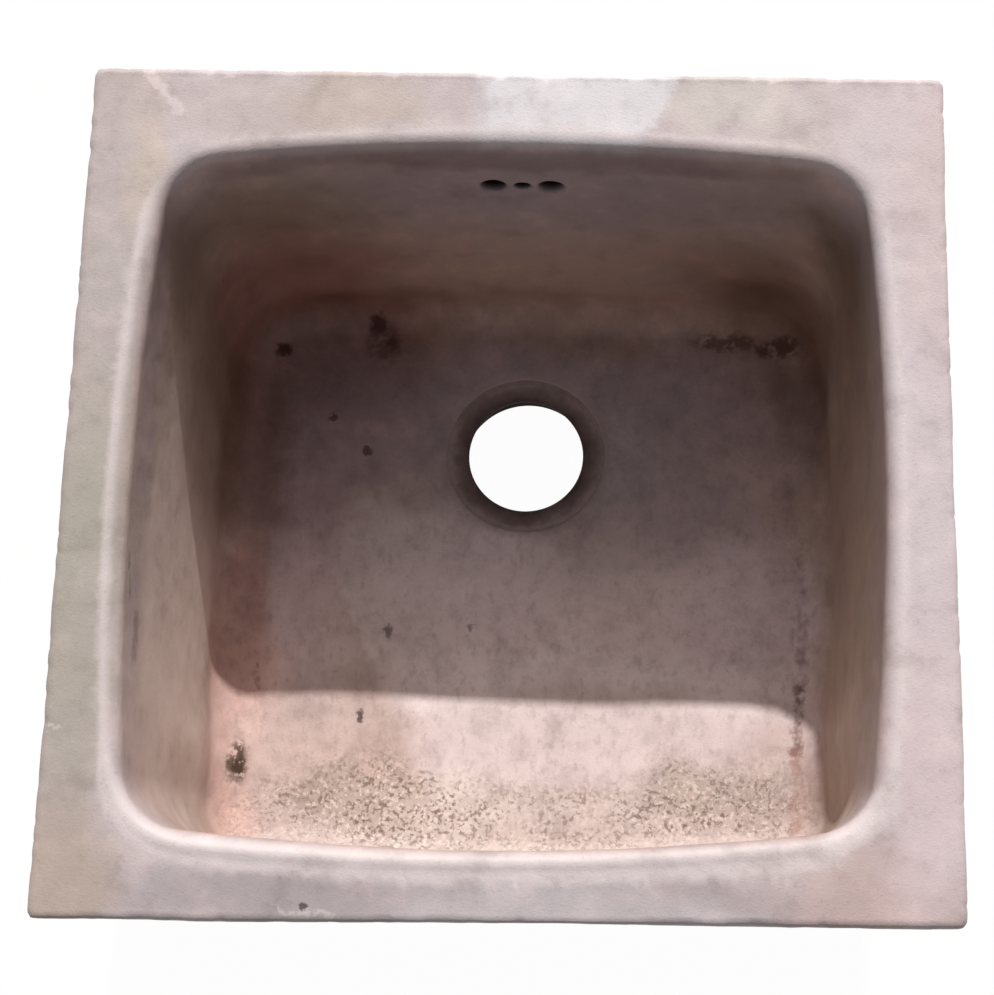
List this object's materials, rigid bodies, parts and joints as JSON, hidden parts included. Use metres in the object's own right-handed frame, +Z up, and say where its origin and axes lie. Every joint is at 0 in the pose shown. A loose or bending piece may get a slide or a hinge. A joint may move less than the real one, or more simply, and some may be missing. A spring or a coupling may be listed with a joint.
{
  "type": "stoneware washbasin",
  "caption": "Square thick-walled stoneware washbasin with a bowed square bowl, flat rim, overflow holes in the back wall and a flanged waste outlet in the floor.",
  "frame": {"origin": "middle of the foot, on the surface that the basin stands on", "axes": "+Z up, +Y towards the back wall of the basin with the overflow holes, +X to the right seen from the front"},
  "size_m": [0.3994, 0.3947, 0.24],
  "materials": {
    "stoneware": "worn matt stoneware, mottled grey-pink",
    "dark_brass": "old cast brass, blackened",
    "bright_brass": "dull turned brass",
    "putty": "hardened putty",
    "seal_rubber": "matt black rubber"
  },
  "bodies": {
    "root": {"basin_body": "stoneware", "overflow_cover": "stoneware", "overflow_ferrule": "bright_brass", "waste_body": "dark_brass", "waste_bedding": "putty", "waste_seal": "seal_rubber", "waste_slip_washer": "bright_brass", "waste_back_nut": "bright_brass"}
  },
  "joints": []
}
